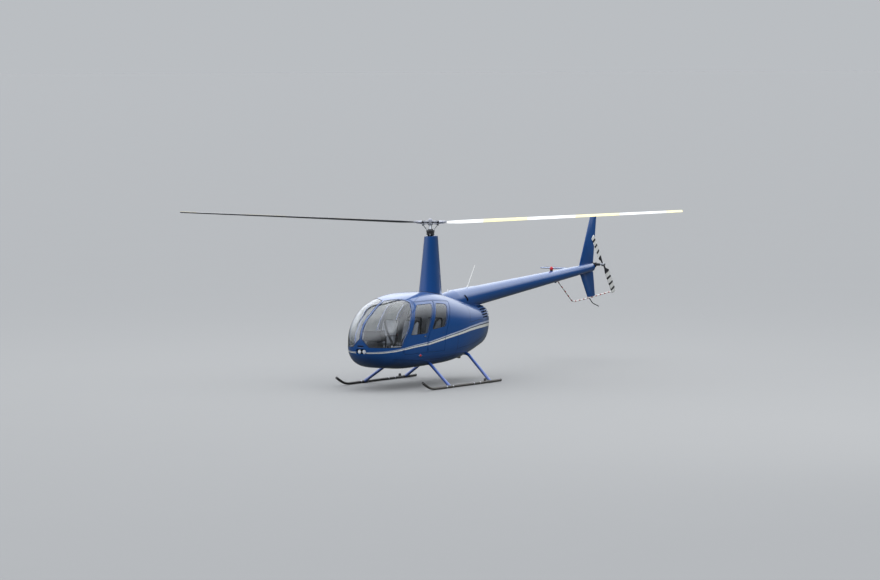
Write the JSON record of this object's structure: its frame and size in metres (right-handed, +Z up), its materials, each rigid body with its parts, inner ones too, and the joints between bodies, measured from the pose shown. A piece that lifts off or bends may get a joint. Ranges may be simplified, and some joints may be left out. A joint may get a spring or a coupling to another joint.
{
  "type": "light four-seat helicopter",
  "caption": "Light piston helicopter on skids: glazed cabin with hinged doors, tall mast fairing, teetering main rotor, tapered boom, fins and tail rotor.",
  "frame": {"origin": "middle of the machine's box, on the ground under it; the mast stands 1.973 m ahead of it", "axes": "+X towards the nose, +Y to port, +Z up"},
  "size_m": [9.4366, 8.6512, 3.4351],
  "materials": {
    "body_paint": "gloss blue enamel",
    "glazing": "clear acrylic glazing",
    "black_paint": "satin black enamel",
    "carpet": "short grey carpet",
    "seat_leather": "grey leather",
    "black_plastic": "matt black",
    "bare_metal": "satin aluminium",
    "engine_metal": "dull engine grey",
    "blade_paint": "white and yellow banded enamel over a black underside",
    "guard_paint": "white enamel with red bands",
    "tail_blade_paint": "black and white banded enamel",
    "lamp_lens": "clear lamps in a dark housing",
    "red_lens": "clear red",
    "green_lens": "clear green"
  },
  "bodies": {
    "airframe": {"cabin_shell": "body_paint", "windshield_port": "glazing", "windshield_starboard": "glazing", "cabin_floor": "carpet", "firewall": "bare_metal", "seat_front_port": "seat_leather", "seat_rear_port": "seat_leather", "seat_front_starboard": "seat_leather", "seat_rear_starboard": "seat_leather", "instrument_pedestal": "black_plastic", "cyclic_stick": "black_plastic", "landing_lights": "lamp_lens", "nav_light_port": "red_lens", "nav_light_starboard": "green_lens", "tail_boom": "body_paint", "engine_block": "engine_metal", "cooling_fan": "black_paint", "exhaust_pipe": "bare_metal", "engine_cowl": "body_paint", "mast_fairing": "body_paint", "swashplate": "black_paint", "fin_upper": "body_paint", "fin_lower": "body_paint", "horizontal_stabiliser": "body_paint", "tail_gearbox": "black_paint", "tail_rotor_guard": "guard_paint", "tail_skid": "black_paint", "beacon": "red_lens", "whip_aerial": "blade_paint", "skid_port": "black_paint", "skid_starboard": "black_paint", "crosstube_front": "body_paint", "crosstube_rear": "body_paint"},
    "door_front_port": {"door_front_port": "body_paint", "window_front_port": "glazing"},
    "door_rear_port": {"door_rear_port": "body_paint", "window_rear_port": "glazing"},
    "door_front_starboard": {"door_front_starboard": "body_paint", "window_front_starboard": "glazing"},
    "door_rear_starboard": {"door_rear_starboard": "body_paint", "window_rear_starboard": "glazing"},
    "main_rotor": {"rotor_head": "bare_metal", "main_blade_a": "blade_paint", "main_blade_b": "blade_paint"},
    "tail_rotor": {"tail_rotor": "tail_blade_paint"}
  },
  "joints": [
    {"name": "door_front_port_hinge", "type": "hinge", "parent": "airframe", "child": "door_front_port", "pos_m": [3.72997, 0.628, 0.83], "axis": [0, 0, -1], "range_deg": [0, 85]},
    {"name": "door_front_starboard_hinge", "type": "hinge", "parent": "airframe", "child": "door_front_starboard", "pos_m": [3.72997, -0.628, 0.83], "axis": [0, 0, 1], "range_deg": [0, 85]},
    {"name": "door_rear_port_hinge", "type": "hinge", "parent": "airframe", "child": "door_rear_port", "pos_m": [2.93997, 0.646, 0.83], "axis": [0, 0, -1], "range_deg": [0, 80]},
    {"name": "door_rear_starboard_hinge", "type": "hinge", "parent": "airframe", "child": "door_rear_starboard", "pos_m": [2.93997, -0.646, 0.83], "axis": [0, 0, 1], "range_deg": [0, 80]},
    {"name": "main_rotor_spin", "type": "hinge", "parent": "airframe", "child": "main_rotor", "pos_m": [1.97297, 0, 3.2], "axis": [0, 0, 1], "continuous": true},
    {"name": "tail_rotor_spin", "type": "hinge", "parent": "airframe", "child": "tail_rotor", "pos_m": [-3.92003, 0.26, 2.08], "axis": [0, 1, 0], "continuous": true}
  ]
}
